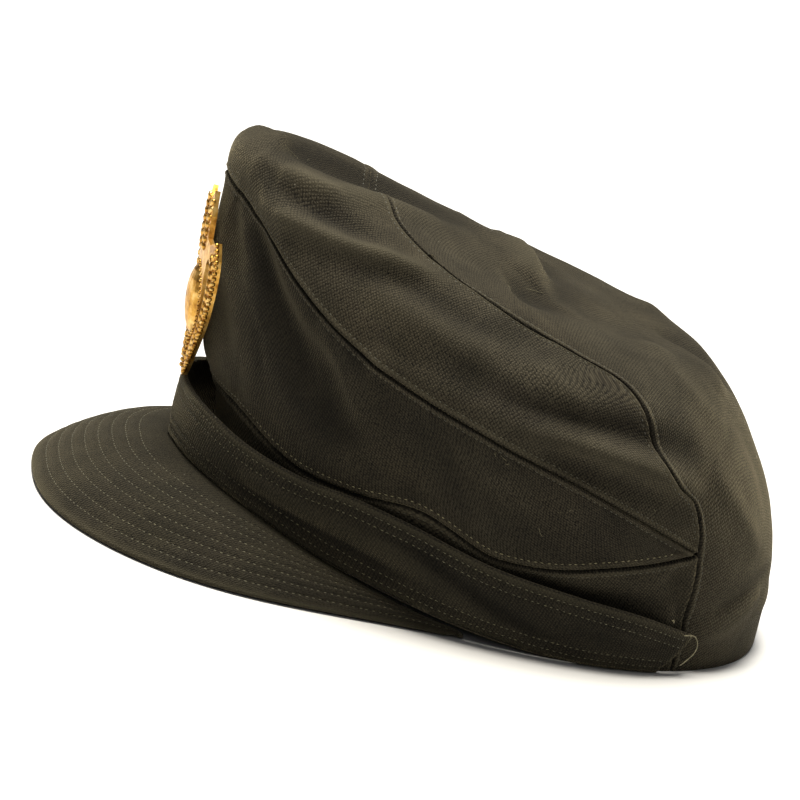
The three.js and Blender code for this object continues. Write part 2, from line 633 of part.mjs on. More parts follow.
function badge(material) {
  const backFace = badgeFront(0, POST.up) + BADGE.plate;
  const from = backFace - POST.sunk;
  const to = frontFaceAt(BADGE.footZ + POST.up) - POST.clear;
  const post = new THREE.CylinderGeometry(POST.radius, POST.radius, to - from, POST.around);
  post.translate(0, mix(from, to, 0.5), BADGE.footZ + POST.up);
  const whole = badgeFace().add(solidOf(post)).getMesh();
  const geometry = new THREE.BufferGeometry();
  geometry.setAttribute('position', new THREE.Float32BufferAttribute(whole.vertProperties, 3));
  geometry.setIndex(Array.from(whole.triVerts));
  const result = new THREE.Mesh(geometry, material);
  result.name = 'badge';
  return result;
}

// Foremost Y of the cloth on the centre plane at a height.
function frontFaceAt(z) {
  let low = 0;
  let high = TOP_SEAM[0].level;
  for (let k = 0; k < HALVINGS; k += 1) {
    const level = (low + high) / 2;
    if (crownCloth(plan(0, level)).point.z < z) low = level;
    else high = level;
  }
  return crownCloth(plan(0, low)).point.y;
}

// ---------------------------------------------------------------- assembly
function cloth(color, roughness) {
  return new THREE.MeshStandardMaterial({ color, roughness, metalness: 0 });
}

const group = new THREE.Group();
const columns = 2 * HALF_COLUMNS;
const hemSide = (u) => hemLine(sideOf(u));
const bandSide = (u) => bandSeam(sideOf(u));
const topSide = (u) => topSeam(sideOf(u));
const backSide = (u) => backEdge(sideOf(u));
const bandPlaces = between(hemSide, bandSide, columns, BAND_ROWS, false, true);
const frontPlaces = between(bandSide, topSide, columns, FRONT_ROWS, true, true);
const topPlaces = between(topSide, backSide, columns, TOP_ROWS, true, true);
group.add(clothPanel('band', cloth('#2b291e', 0.95), bandPlaces));
group.add(clothPanel('crown_front_panel', cloth('#2e2b20', 0.95), frontPlaces));
group.add(clothPanel('crown_top_panel', cloth('#332f24', 0.95), topPlaces));
group.add(clothPanel('crown_back_panel', cloth('#332f24', 0.95), backPlaces()));
const peakMesh = peak(cloth('#2a281d', 0.95));
group.add(peakMesh);
group.add(strap(cloth('#2b281e', 0.95), peakMesh));
const gilt = new THREE.MeshStandardMaterial({ color: '#d9a441', roughness: 0.3, metalness: 1 });
group.add(badge(gilt));

export default group;
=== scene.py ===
import math

import bmesh
import bpy
import numpy as np
from mathutils import Matrix, Vector, noise
from mathutils.bvhtree import BVHTree


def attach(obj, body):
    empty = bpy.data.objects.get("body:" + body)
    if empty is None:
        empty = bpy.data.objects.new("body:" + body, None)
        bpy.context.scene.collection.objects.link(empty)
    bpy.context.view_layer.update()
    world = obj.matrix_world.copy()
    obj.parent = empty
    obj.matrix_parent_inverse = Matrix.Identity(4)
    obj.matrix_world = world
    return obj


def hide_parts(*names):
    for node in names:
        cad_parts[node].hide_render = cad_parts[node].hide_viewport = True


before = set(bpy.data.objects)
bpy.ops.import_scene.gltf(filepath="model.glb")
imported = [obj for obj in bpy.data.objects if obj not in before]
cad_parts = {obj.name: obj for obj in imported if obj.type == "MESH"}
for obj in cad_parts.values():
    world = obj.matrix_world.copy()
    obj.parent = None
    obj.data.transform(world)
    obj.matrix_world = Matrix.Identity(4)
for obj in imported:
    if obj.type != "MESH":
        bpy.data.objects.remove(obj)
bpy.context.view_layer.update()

MM = 0.001
CLOTH = 1.8                # crown and band wall
BACK_SEAM_ANGLE = 126.5    # where the front, top, back and band seams meet
SEAMS_MEET_LEVEL = 0.201
HEM_SEAM_ANGLE = 124.5
BACK_CORNER = 0.27         # share of the back panel's outline that is its front edge
SEAM_ROWS_SHARE = 17 / 22  # share of the back panel's side that is above the meeting of the seams
PLAIN_HEM = 0.06           # the folds have died out between this level and the hem
STITCH_OFF = 2.5           # topstitching, from its seam
STITCH_PITCH = 2.3
END_TRIM = 0.0012          # share of a panel's half that its seam takes at each end
PAINTED_PANEL_SHADE = {"crown_front_panel": 0.3, "crown_back_panel": 0.41}    # painted shade: how light each panel is drawn, lower is darker; front and back drawn darker for how light falls on them
PLAIN_PANEL_SHADE = 0.5           # and the other panels
LAID_FLAT = ("band", "crown_top_panel")    # panels that taper, whose weave is mapped as laid flat


def table(columns, *rows):
    """Named columns of a short table, each as an array."""
    return dict(zip(columns.split(), np.array(rows, float).T))


# Level rings of the crown from the hem (0) to the crest (1): the ends on the centre plane, the
# half width, the lift of the sides and how square the ring is.
RINGS = table(
    "level front_y front_z back_y back_z side_x lift square",
    (0, -70.5, 22, 130.5, 0, 79.5, -9.8, 2.1),
    (0.14, -76, 46, 128, 28, 84, -1.5, 2.1),
    (0.28, -83, 72, 120.5, 51, 85, 2.5, 2.1),
    (0.42, -86.5, 92.5, 109.5, 69, 83, 3.5, 2.2),
    (0.55, -87.5, 112, 96, 85.5, 74, -0.5, 2.3),
    (0.68, -88.5, 130, 82.5, 95, 57.5, -3, 2.3),
    (0.82, -70, 136, 54, 100, 34, -3, 2.2),
    (0.92, -35, 129, 26, 109.5, 14, -1, 2),
    (1, -4.5, 120, -4.5, 120, 0, 0, 2),
)

# Folds and dents, each a soft line through three places given as angle from the front and
# level, with its half width and its rise; a dent is negative.
FOLDS = table(
    "angle0 level0 angle1 level1 angle2 level2 width height",
    (30, 0.7, 48.3, 0.752, 71.6, 0.905, 6.5, 2.6),      # ridge along the front rim
    (10.8, 0.786, 24.8, 0.857, -90, 0.99, 10, -6.5),    # sunken top
    (-12.5, 0.723, -31, 0.825, -90, 0.88, 14, -3.2),    # far rim, fallen in
    (20, 0.657, 45, 0.675, 63, 0.684, 6, -1.4),         # dent below the front rim
    (24, 0.588, 52, 0.612, 79, 0.68, 5, 2),             # ridge at the front shoulder
    (62, 0.612, 80, 0.592, 100, 0.588, 6.5, -1.8),      # dent in the side
    (58, 0.565, 71, 0.549, 86, 0.522, 5.5, 1.2),        # ridge in the side
    (60, 0.412, 90, 0.402, 131, 0.418, 6, -4),          # long furrow above the seam
    (56, 0.388, 92, 0.378, 129, 0.315, 5, 3.2),         # long ridge under it
    (92, 0.335, 104, 0.314, 118, 0.294, 5, -1.4),       # dent under the ridge
    (100, 0.8, 110, 0.81, 122, 0.84, 9, -3.5),          # pocket behind the back seam
    (112.5, 0.87, 180, 0.95, -112.5, 0.87, 7.5, 3.4),   # bump across the top
    (120.5, 0.826, 180, 0.91, -120.5, 0.826, 8, -3),    # dip behind it
    (148, 0.76, 136, 0.63, 145, 0.48, 5.5, 2.2),        # ridge down the back
    (-176, 0.76, 174, 0.675, 165, 0.57, 7, -3),         # dent down the back
    (9, 0.55, 33, 0.41, 53, 0.19, 10, -3.6),            # hollow in the front panel
    (4, 0.46, 20, 0.3, 27, 0.17, 6, 1.2),               # edge of the front panel
    (50, 0.33, 58, 0.25, 64, 0.17, 5, 1),               # pleat in the side
    (129, 0.065, 140, 0.085, 153, 0.12, 4.5, 1.8),      # tuck over the hem
    (-12, 0.5, -34, 0.38, -50, 0.2, 11, -2.6),          # far hollow
    (-66, 0.44, -98, 0.42, -128, 0.45, 7, -3.2),        # far furrow
    (-60, 0.4, -95, 0.375, -126, 0.36, 5.5, 2.4),       # far ridge
    (-61, 0.705, -86, 0.71, -104, 0.7, 9, -2.2),        # far shoulder
    (-150, 0.7, -140, 0.55, -146, 0.4, 6, 1.8),         # far back ridge
    (0, 0.12, 0, 0.4, 0, 0.72, 12, 2.9),                # full middle of the front
)

# Small creases that only the cloth's own surface needs, in the same columns.
CREASES = table(
    "angle0 level0 angle1 level1 angle2 level2 width height",
    (-20, 0.2, 0, 0.21, 20, 0.2, 9, 2.3),               # cloth swells out over the strap in front
    (92, 0.56, 100, 0.5, 106, 0.44, 3.5, 0.7),          # ridge in the side
    (66, 0.5, 76, 0.47, 88, 0.452, 3.2, -0.6),          # dent beside it
    (132, 0.1, 145, 0.13, 160, 0.15, 3, -0.8),          # dent over the hem
    (142, 0.06, 156, 0.085, 170, 0.1, 3.4, 0.7),        # tuck over the hem
    (133, 0.4, 141, 0.3, 150, 0.2, 5, 0.9),             # ridge down the back panel
    (150, 0.55, 158, 0.4, 160, 0.25, 6, -0.8),          # dent behind it
    (30, 0.5, 42, 0.4, 60, 0.3, 3.6, 0.6),              # ridge under the top seam
    (18, 0.5, 26, 0.36, 30, 0.22, 3, -0.5),             # dent in the front panel
    (74, 0.27, 84, 0.23, 96, 0.19, 4, 0.6),             # ridge in the front panel's end
    (-30, 0.5, -42, 0.4, -60, 0.3, 3.6, 0.6),           # far ridge under the top seam
    (-92, 0.56, -100, 0.5, -106, 0.44, 3.5, 0.7),       # far ridge in the side
    (-133, 0.4, -141, 0.3, -150, 0.2, 5, 0.9),          # far ridge down the back panel
    (119, 0.165, 122.5, 0.125, 125, 0.07, 3.6, -1.9),   # hollow at the band's end
    (84, 0.085, 100, 0.09, 121, 0.1, 6, -3.4),          # hollow in the band
    (32.5, 0.604, 53.5, 0.626, 74, 0.663, 2.8, 2.1),    # sharp crest at the front shoulder
    (36, 0.575, 56, 0.595, 76, 0.63, 5, -1.4),          # dent under it
    (18, 0.699, 38, 0.712, 50.5, 0.741, 3, 1.7),        # sharp crest at the front rim
    (27, 0.65, 45, 0.668, 62, 0.698, 4.5, -1.2),        # dent under it
    (11, 0.56, 21, 0.455, 29.5, 0.32, 4, 1.7),          # edge of the front panel's hollow
    (20, 0.54, 33, 0.4, 43, 0.23, 7, -2.3),             # the hollow itself
    (46, 0.43, 51, 0.35, 55, 0.25, 3.5, 1.1),           # small pleat behind it
    (142, 0.72, 136, 0.63, 145, 0.47, 6, -1.5),         # softer ridge down the back
    (168, 0.66, 160, 0.63, 153, 0.58, 5, 1.2),          # shallower dent beside it
)

TOP_SEAM = table(
    "angle level",
    (0, 0.6), (20, 0.56), (31, 0.528), (41.5, 0.471), (51.5, 0.414), (60, 0.375), (68, 0.348),
    (83.5, 0.309), (103.5, 0.267), (BACK_SEAM_ANGLE, SEAMS_MEET_LEVEL),
)
BAND_SEAM = table(
    "angle level",
    (0, 0.15), (21.5, 0.147), (42, 0.118), (54, 0.126), (68.5, 0.146), (83.5, 0.117),
    (92, 0.122), (108, 0.156), (BACK_SEAM_ANGLE, SEAMS_MEET_LEVEL),
)
BACK_OUTLINE = np.array([
    (0, -0.1), (0.14, -0.092), (0.27, -0.065), (0.34, 0.01), (0.37, 0.1), (0.385, 0.19),
    (0.45, 0.25), (0.535, 0.3), (0.567, 0.35), (0.565, 0.41), (0.6, 0.455),
])


# ------------------------------------------------------------------ curves and tables
def smooth(rows, key, column, x):
    """Smooth value of a table's column at x on its key column."""
    xs, ys = rows[key], rows[column]
    span, rise = np.diff(xs), np.diff(ys)
    slope = np.empty(len(xs))
    slope[0], slope[-1] = rise[0] / span[0], rise[-1] / span[-1]
    before, after = span[:-1], span[1:]
    slope[1:-1] = (before * (rise / span)[1:] + after * (rise / span)[:-1]) / (before + after)
    i = np.clip(np.searchsorted(xs, x) - 1, 0, len(xs) - 2)
    u = np.clip((x - xs[i]) / span[i], 0, 1)
    bend = u * (1 - u) * ((1 - u) * slope[i] - u * slope[i + 1]) * span[i]
    return ys[i] + rise[i] * u * u * (3 - 2 * u) + bend


def ease(x, low, high):
    u = np.clip((x - low) / (high - low), 0, 1)
    return u * u * (3 - 2 * u)


def bell(x, middle, width):
    return np.exp(-((x - middle) / width) ** 2)


def mix(a, b, share):
    return a + (b - a) * share


def unit(v):
    return v / np.maximum(np.linalg.norm(v, axis=-1, keepdims=True), 1e-12)


def spline(points, t):
    """Points of a smooth line through the given ones, t from 0 to 1."""
    last = len(points) - 1
    run = np.clip(np.asarray(t, float), 0, 1) * last
    i = np.minimum(np.floor(run).astype(int), last - 1)
    w = (run - i)[..., None]
    p0, p1 = points[np.maximum(i - 1, 0)], points[i]
    p2, p3 = points[i + 1], points[np.minimum(i + 2, last)]
    a, b = (p2 - p0) / 2, (p3 - p1) / 2
    return (2 * p1 - 2 * p2 + a + b) * w ** 3 + (-3 * p1 + 3 * p2 - 2 * a - b) * w ** 2 + a * w + p1


def run_length(points, axis=0):
    """Distance travelled along an axis of a grid of points."""
    steps = np.linalg.norm(np.diff(points, axis=axis), axis=-1)
    start = np.zeros_like(np.take(steps, [0], axis=axis))
    return np.concatenate([start, np.cumsum(steps, axis=axis)], axis=axis)


# ------------------------------------------------------------------ crown form
def plan(angle, level):
    """A place on the crown's plan: 1 - level from the crest, at an angle from the front."""
    turn = np.radians(angle)
    return np.stack([(1 - level) * np.sin(turn), -(1 - level) * np.cos(turn)], axis=-1)


def bare_crown(place):
    """Outer face of the crown before its folds, at places of the plan."""
    level = 1 - np.minimum(np.linalg.norm(place, axis=-1), 1)
    turn = np.arctan2(place[..., 0], -place[..., 1])
    ring = {c: smooth(RINGS, "level", c, level) for c in RINGS if c != "level"}
    c, s = np.cos(turn), np.sin(turn)
    reach = (np.abs(c) ** ring["square"] + np.abs(s) ** ring["square"]) ** (-1 / ring["square"])
    back = -c * reach
    y = mix(ring["front_y"], ring["back_y"], (1 + back) / 2)
    z = mix(ring["front_z"], ring["back_z"], (1 + back) / 2) + ring["lift"] * (1 - back * back)
    return np.stack([ring["side_x"] * s * reach, y, z], axis=-1)


def crown_normal(place):
    """Outward direction of the bare crown."""
    step = 0.004
    size = np.maximum(np.linalg.norm(place, axis=-1, keepdims=True), step)
    inside = place * np.minimum(1, (1 - 2 * step) / size)
    across, along = np.array([step, 0.0]), np.array([0.0, step])
    u = bare_crown(inside + across) - bare_crown(inside - across)
    v = bare_crown(inside + along) - bare_crown(inside - along)
    return unit(np.cross(u, v))


def fold_height(rows, point, samples=12):
    """Height of all folds together at points of the bare crown."""
    total = np.zeros(point.shape[:-1])
    for k in range(len(rows["width"])):
        corners = [plan(rows[f"angle{n}"][k], rows[f"level{n}"][k]) for n in range(3)]
        line = bare_crown(spline(np.array(corners), np.linspace(0, 1, samples + 1)))
        near, share = np.full(total.shape, np.inf), np.zeros(total.shape)
        for i in range(samples):
            part = line[i + 1] - line[i]
            u = np.clip(((point - line[i]) @ part) / (part @ part), 0, 1)
            away = np.linalg.norm(point - line[i] - u[..., None] * part, axis=-1)
            share = np.where(away < near, (i + u) / samples, share)
            near = np.minimum(near, away)
        fade = 1 - np.abs(2 * share - 1) ** 3
        total += rows["height"][k] * fade * bell(near, 0, rows["width"][k])
    return total


def crown_cloth(place):
    """Outer face of the cloth, its normal and how far it stands out in folds."""
    normal, point = crown_normal(place), bare_crown(place)
    level = 1 - np.minimum(np.linalg.norm(place, axis=-1), 1)
    height = fold_height(FOLDS, point) + fold_height(CREASES, point)
    height *= ease(level, 0, PLAIN_HEM)
    return point + normal * height[..., None], normal, height


def top_seam(side):
    angle = side * BACK_SEAM_ANGLE
    return plan(angle, smooth(TOP_SEAM, "angle", "level", np.abs(angle)))


def band_seam(side):
    angle = side * BACK_SEAM_ANGLE
    return plan(angle, smooth(BAND_SEAM, "angle", "level", np.abs(angle)))


def hem_line(side):
    """The hem from the far seam to the near one; side runs from -1 to 1 here and in each seam."""
    return plan(side * HEM_SEAM_ANGLE, 0 * side)


seams_meet = plan(BACK_SEAM_ANGLE, SEAMS_MEET_LEVEL)
outline_dense = spline(np.vstack([BACK_OUTLINE, seams_meet]), np.linspace(0, 1, 801))
outline_run = run_length(outline_dense)


def back_outline(share, mirror=1.0):
    """Place at a share of the back panel's outline, from the middle of its front edge."""
    at = np.clip(share, 0, 1) * outline_run[-1]
    x = np.interp(at, outline_run, outline_dense[:, 0]) * mirror
    return np.stack([x, np.interp(at, outline_run, outline_dense[:, 1])], axis=-1)


FRONT_EDGE_SHARE = 9 / 26   # share of the top panel's half that faces the back panel's front edge


def back_edge(side):
    """The top panel's upper edge, which is the back panel's outline above the seams' meeting."""
    a = np.abs(side)
    beyond = (a - FRONT_EDGE_SHARE) / (1 - FRONT_EDGE_SHARE)
    share = np.where(a <= FRONT_EDGE_SHARE, BACK_CORNER * a / FRONT_EDGE_SHARE,
                     mix(BACK_CORNER, 1, beyond))
    return back_outline(share, np.where(side < 0, -1.0, 1.0))


def back_flank(v, mirror):
    """The back panel's side: along the back seam, and from the meeting of the seams to the hem."""
    upper = back_outline(mix(BACK_CORNER, 1, v / SEAM_ROWS_SHARE))
    drop = np.clip((v - SEAM_ROWS_SHARE) / (1 - SEAM_ROWS_SHARE), 0, 1)[..., None]
    place = np.where((v <= SEAM_ROWS_SHARE)[..., None], upper,
                     mix(seams_meet, hem_line(1.0), drop))
    return place * np.array([mirror, 1.0])


def back_place(u, v):
    """Places of the back panel, blended between its front edge, its two flanks and the hem."""
    def front(share):
        return back_outline(BACK_CORNER * np.abs(2 * share - 1), np.where(share < 0.5, -1.0, 1.0))

    def hem(share):
        return plan(mix(360 - HEM_SEAM_ANGLE, HEM_SEAM_ANGLE, share), 0 * share)

    one, low, high = u[..., None], v[..., None], 1 - v[..., None]
    place = front(u) * high + hem(u) * low
    place = place + back_flank(v, -1) * (1 - one) + back_flank(v, 1) * one
    none, full = np.zeros_like(u), np.ones_like(u)
    place = place - front(none) * (1 - one) * high - front(full) * one * high
    return place - hem(none) * (1 - one) * low - hem(full) * one * low


# ------------------------------------------------------------------ meshes and pieces
def dense_ends(t, share=0.72):
    """Even steps from 0 to 1 made finer at both ends, where the seams are."""
    return t - share * np.sin(2 * np.pi * t) / (2 * np.pi)


def flat_grid(columns, rows):
    """A bmesh grid with the share along each of its two sides for every vertex."""
    bm = bmesh.new()
    bmesh.ops.create_grid(bm, x_segments=columns, y_segments=rows, size=0.5)
    places = np.array([v.co for v in bm.verts]).reshape(rows + 1, columns + 1, 3)
    return bm, places[..., 0] + 0.5, places[..., 1] + 0.5


def place_verts(verts, point):
    for vert, co in zip(verts, point.reshape(-1, 3) * MM):
        vert.co = co


def weave_map(bm, across, along):
    """The cloth's own coordinates in millimetres, for weave that follows the surface."""
    layer = bm.loops.layers.uv.new("cloth_mm")
    across, along = across.ravel(), along.ravel()
    for face in bm.faces:
        for loop in face.loops:
            k = loop.vert.index
            loop[layer].uv = (across[k], along[k])


def wear_and_shade_map(bm, wear_and_shade):
    """How much each place is rubbed, for wear along folds and edges; low values are painted shade."""
    layer = bm.verts.layers.float.new("wear_and_shade")
    for vert, value in zip(bm.verts, wear_and_shade.ravel()):
        vert[layer] = float(value)


def slack(point, size, seed):
    """Gentle unevenness of cloth, about -1 to 1, over lumps of a size in millimetres."""
    flat = point.reshape(-1, 3) / size + seed
    return np.array([noise.noise(Vector(p)) for p in flat]).reshape(point.shape[:-1])


def make_piece(name, bm, material, slot, *nodes):
    """Makes an object of a bmesh; nodes are the solids that it takes the place of."""
    mesh = bpy.data.meshes.new(name)
    bm.to_mesh(mesh)
    bm.free()
    mesh.shade_smooth()
    mesh.materials.append(material)
    piece = bpy.data.objects.new(name, mesh)
    bpy.context.collection.objects.link(piece)
    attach(piece, "root")
    if nodes:
        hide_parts(*nodes)
    return piece


def seam_relief(away):
    """Cross-section of a pressed seam: the cloth rolls in, lies full and is held by stitching."""
    return -1.0 * bell(away, 0, 0.5) + 0.3 * bell(away, 1.4, 1.0) - 0.12 * bell(away, STITCH_OFF, 0.5)


def pucker(away, along, seed):
    """Cloth gathered a little by its seam."""
    wave = np.sin(along / 1.35 + 2.2 * np.sin(along / 5.1 + seed) + seed)
    return 0.07 * wave * bell(away, 2.6, 2.2)


def cloth_wall(bm, thickness):
    """Gives an open sheet its wall, kept above the surface that the cap rests on."""
    bmesh.ops.recalc_face_normals(bm, faces=bm.faces[:])
    top = max(bm.faces, key=lambda face: face.calc_center_median().length)
    if top.normal.dot(top.calc_center_median() - Vector((0, 0.01, 0.03))) < 0:
        bmesh.ops.reverse_faces(bm, faces=bm.faces[:])
    bmesh.ops.solidify(bm, geom=bm.faces[:], thickness=thickness * MM)
    for vert in bm.verts:
        vert.co.z = max(vert.co.z, 0)


def laid_flat(point, first):
    """Where each place of a panel lies when the panel is laid flat, from its low edge up."""
    step = np.diff(point, axis=0)
    along_row = unit(np.gradient(point, axis=1))[:-1]
    slide = (step * along_row).sum(-1)
    rise = np.sqrt(np.maximum((step ** 2).sum(-1) - slide ** 2, 0))
    return (np.concatenate([first, first + np.cumsum(slide, 0)]),
            np.concatenate([0 * first, np.cumsum(rise, 0)]))


def cloth_panel(name, place, columns, rows, seams, seed):
    """A sewn panel of the crown, named as the solid that it replaces. seams names the edges that
    are sewn: low, high, left, right."""
    bm, u, v = flat_grid(columns, rows)
    u, v = (dense_ends(u) if "left" in seams else u), dense_ends(v)
    point, normal, height = crown_cloth(place(u, v))
    across, along = run_length(point, 1), run_length(point, 0)
    across = across - across[:, [columns // 2]]
    top_edge = {"crown_top_panel": "high", "crown_back_panel": "low"}.get(name)
    flat_top = ease(np.abs(point[..., 0]), 3, 16)    # the seam lies flat where it crosses the top
    edges = {
        "low": (along, across), "high": (along[[-1]] - along, across),
        "left": (across - across[:, [0]], along), "right": (across[:, [-1]] - across, along),
    }
    relief = 0.35 * slack(point, 24, seed) + 0.14 * slack(point, 8, seed + 9)
    # Painted shade: each panel's level, darker in the dents of the folds; wear lightens the folds'
    # crests.
    wear_and_shade = PAINTED_PANEL_SHADE.get(name, PLAIN_PANEL_SHADE) + 0.12 * height
    if name == "crown_front_panel":
        wear_and_shade = wear_and_shade - 0.2 * ease(-point[..., 1], 0, 72)    # painted shade: the front drawn darker, as the badge and the rim shade it
    for edge, (away, run) in edges.items():
        if edge in seams:
            sewn = seam_relief(away) + pucker(away, run, seed)
            relief = relief + sewn * (flat_top if edge == top_edge else 1)
            # wear lightens the seam's ridge; the seam line itself is drawn darker
            wear_and_shade = wear_and_shade + 0.35 * bell(away, 1.6, 0.7) - 0.6 * bell(away, 0, 0.8)
    hem = {"band": edges["low"], "crown_back_panel": edges["high"]}.get(name)
    if hem:
        relief = relief * ease(hem[0], 0, 6) - 0.6 * bell(hem[0], 0, 0.9)
        wear_and_shade = wear_and_shade + 0.5 * bell(hem[0], 0, 1.2)
    outer = point + normal * relief[..., None]
    outer[..., 2] = np.maximum(outer[..., 2], 0)
    place_verts(bm.verts, outer)
    weave_map(bm, *(laid_flat(point, across[[0]]) if name in LAID_FLAT else (across, along)))
    wear_and_shade_map(bm, np.clip(wear_and_shade, 0, 1))
    cloth_wall(bm, CLOTH)
    slot = "band_cloth" if name == "band" else "crown_cloth"
    make_piece(name + "_cloth", bm, crown_wool, slot, name)
    return {"point": outer, "normal": normal, "along": along, "across": across}


# ------------------------------------------------------------------ stitching
def offset_line(sheet, edge, away):
    """The line on a sheet that stays a given distance from one of its edges."""
    point, normal = sheet["point"], sheet["normal"]
    if edge in ("left", "right"):
        run = sheet["across"] - sheet["across"][:, [0]]
        point, normal, run = point.transpose(1, 0, 2), normal.transpose(1, 0, 2), run.T
    else:
        run = sheet["along"] - sheet["along"][[0]]
    if edge in ("high", "right"):
        point, normal, run = point[::-1], normal[::-1], run[-1:] - run[::-1]
    spots = []
    for k in range(point.shape[1]):
        if run[-1, k] > away + STITCH_OFF:
            at = [np.interp(away, run[:, k], point[:, k, c]) for c in range(3)]
            out = [np.interp(away, run[:, k], normal[:, k, c]) for c in range(3)]
            spots.append(at + out)
    return np.array(spots).reshape(-1, 6)


def copies(bm, axes, centres):
    """Makes one small round in an empty bmesh into as many as there are centres, each stretched
    along its own three axes."""
    bmesh.ops.create_uvsphere(bm, u_segments=6, v_segments=4, radius=1)
    order = list(bm.verts)
    shape = np.array([v.co for v in order])
    total = len(shape) * len(centres)
    while len(order) < total:
        source = order[:total - len(order)]
        chosen = set(source)
        joins = [part for group in (bm.edges, bm.faces) for part in group
                 if chosen.issuperset(part.verts)]
        twin = bmesh.ops.duplicate(bm, geom=source + joins)["vert_map"]
        order += [twin[vert] for vert in source]
    place_verts(order, np.einsum("kv,nvc->nkc", shape, axes) + centres[:, None])


def thread_row(line, pitch=STITCH_PITCH, long=1.3, wide=0.34, sink=0.05):
    """Axes and centres of the stitches of one row, each a spindle that dips in at its ends."""
    run = run_length(line[:, :3])
    at = np.arange(pitch, run[-1] - pitch, pitch)
    at = at + 0.16 * np.sin(at * 1.7) + 0.1 * np.sin(at * 4.3)
    spot = np.stack([np.interp(at, run, line[:, c]) for c in range(6)], -1)
    ahead = np.stack([np.interp(at + 0.6, run, line[:, c]) for c in range(3)], -1)
    forward = unit(ahead - spot[:, :3])
    out = unit(spot[:, 3:] - forward * np.sum(spot[:, 3:] * forward, -1, keepdims=True))
    side = np.cross(out, forward)
    axes = np.stack([forward * long / 2, side * wide / 2, out * wide * 0.42], 1)
    return axes, spot[:, :3] - out * sink


def stitching(name, thread, slot, lines, **form):
    """A piece of thread: the stitches of several rows."""
    rows = [thread_row(line, **form) for line in lines if len(line) > 1]
    bm = bmesh.new()
    copies(bm, np.concatenate([r[0] for r in rows]), np.concatenate([r[1] for r in rows]))
    make_piece(name, bm, thread, slot)


def loose_hairs(sheets, count, seed):
    """Short curved lines a little above the cloth, for stray fibres."""
    rng = np.random.default_rng(seed)
    lines = []
    for _ in range(count):
        sheet = sheets[rng.integers(len(sheets))]
        rows, columns = sheet["point"].shape[:2]
        row, column = rng.integers(12, rows - 12), rng.integers(12, columns - 12)
        drift = rng.integers(-3, 4, size=(4, 2)).cumsum(axis=0)
        at = np.clip(np.array([row, column]) + drift, 1, [rows - 2, columns - 2])
        spots = np.hstack([sheet["point"][at[:, 0], at[:, 1]], sheet["normal"][at[:, 0], at[:, 1]]])
        lines.append(spline(spots, np.linspace(0, 1, 30)))
    return lines


# ------------------------------------------------------------------ materials
def linear(hex_colour):
    """Linear colour of an sRGB hex value."""
    parts = [int(hex_colour[k:k + 2], 16) / 255 for k in (1, 3, 5)]
    return tuple(p / 12.92 if p <= 0.04045 else ((p + 0.055) / 1.055) ** 2.4 for p in parts) + (1.0,)


def add(tree, kind, links=None, **settings):
    """Adds a node. settings are its options, or its sockets' values by name with _ for a space;
    links are socket name or number to the socket that feeds it."""
    node = tree.nodes.new("ShaderNode" + kind)
    for key, value in settings.items():
        socket = key.replace("_", " ")
        if socket in node.inputs:
            node.inputs[socket].default_value = value
        else:
            setattr(node, key, value)
    for key, source in (links or {}).items():
        tree.links.new(source, node.inputs[key])
    return node


def blend(tree, how, share, first, second):
    """Colour of two colours blended; each of share, first and second is a socket or a value."""
    node = add(tree, "Mix", data_type="RGBA", blend_type=how)
    for pin, source in ((0, share), (6, first), (7, second)):
        if isinstance(source, bpy.types.NodeSocket):
            tree.links.new(source, node.inputs[pin])
        else:
            node.inputs[pin].default_value = source
    return node.outputs[2]


def surface(name):
    """A new material, its node tree and its main shader."""
    material = bpy.data.materials.new(name)
    material.use_nodes = True
    tree = material.node_tree
    return material, tree, tree.nodes["Principled BSDF"]


def ramp(tree, source, *stops):
    """A colour ramp through (position, hex colour) stops."""
    node = add(tree, "ValToRGB", {"Fac": source})
    while len(node.color_ramp.elements) < len(stops):
        node.color_ramp.elements.new(1)
    for element, (position, colour) in zip(node.color_ramp.elements, stops):
        element.position, element.color = position, linear(colour)
    return node.outputs["Color"]


